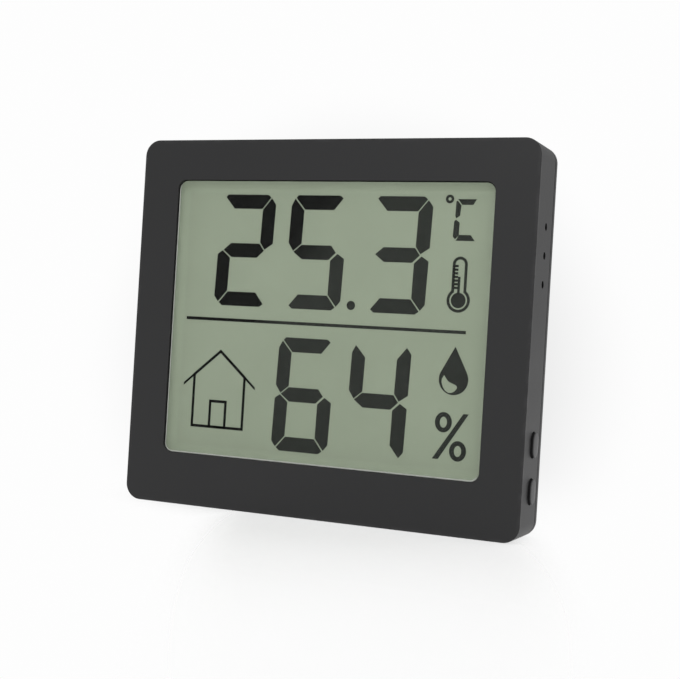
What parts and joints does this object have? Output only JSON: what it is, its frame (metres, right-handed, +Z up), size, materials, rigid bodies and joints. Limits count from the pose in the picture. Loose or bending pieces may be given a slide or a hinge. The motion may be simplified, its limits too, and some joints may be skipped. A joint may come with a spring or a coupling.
{
  "type": "temperature humidity sensor",
  "caption": "Slim indoor thermometer and hygrometer with a segment display, side buttons, air vents, a coin-cell door and a fold-out leg.",
  "frame": {"origin": "middle of the case's underside", "axes": "+X to the right as the display is read, +Y from the display to the back, +Z up"},
  "size_m": [0.0625, 0.009, 0.0548],
  "materials": {
    "case_plastic": "fine moulded texture, satin black",
    "key_rubber": "smooth satin black",
    "lens_acrylic": "clear gloss",
    "gasket_foam": "matt black foam tape",
    "polarizer_film": "grey-green film",
    "display_glass": "clear gloss",
    "reflector_film": "satin grey-green",
    "zebra_rubber": "striped black and white silicone",
    "bracket_plastic": "natural white moulding",
    "board_laminate": "green solder mask",
    "plated_steel": "zinc plated",
    "black_steel": "black plated",
    "epoxy": "gloss black",
    "sensor_package": "moulded package",
    "bright_can": "bright can",
    "chip_ceramic": "tan ceramic",
    "resistor_body": "black ceramic",
    "contact_metal": "nickel plated spring sheet",
    "cell_steel": "bright stainless can",
    "magnet_metal": "nickel plated",
    "switch_plastic": "black moulding",
    "plunger_plastic": "cream moulding"
  },
  "bodies": {
    "case": {"front_case": "case_plastic", "rear_cover": "case_plastic", "window_lens": "lens_acrylic", "lens_tape": "gasket_foam", "front_polarizer": "polarizer_film", "lcd_front_glass": "display_glass", "lcd_rear_glass": "display_glass", "rear_reflector": "reflector_film", "zebra_strip": "zebra_rubber", "lcd_bracket": "bracket_plastic", "main_board": "board_laminate", "board_screws": "plated_steel", "case_screws": "black_steel", "controller_blob": "epoxy", "humidity_sensor": "sensor_package", "crystal_can": "bright_can", "chip_capacitors": "chip_ceramic", "chip_resistors": "resistor_body", "negative_contact": "contact_metal", "positive_contact": "contact_metal", "coin_cell": "cell_steel", "holding_magnets": "magnet_metal", "upper_switch": "switch_plastic", "lower_switch": "switch_plastic"},
    "upper_key": {"upper_button": "key_rubber", "upper_plunger": "plunger_plastic"},
    "lower_key": {"lower_button": "key_rubber", "lower_plunger": "plunger_plastic"},
    "door": {"battery_door": "case_plastic"},
    "leg": {"stand_leg": "case_plastic"}
  },
  "joints": [
    {"name": "upper_key_press", "type": "slide", "parent": "case", "child": "upper_key", "axis": [-1, 0, 0], "range_m": [0, 0.0003], "stiffness_N_per_m": 2500, "springref_m": -0.0002},
    {"name": "lower_key_press", "type": "slide", "parent": "case", "child": "lower_key", "axis": [-1, 0, 0], "range_m": [0, 0.0003], "stiffness_N_per_m": 2500, "springref_m": -0.0002},
    {"name": "door_turn", "type": "hinge", "parent": "case", "child": "door", "pos_m": [0, 0.0035, 0.039], "axis": [0, 1, 0], "range_deg": [0, 35]},
    {"name": "leg_fold", "type": "hinge", "parent": "case", "child": "leg", "pos_m": [0, 0.00345, 0.02397], "axis": [1, 0, 0], "range_deg": [0, 25]}
  ]
}
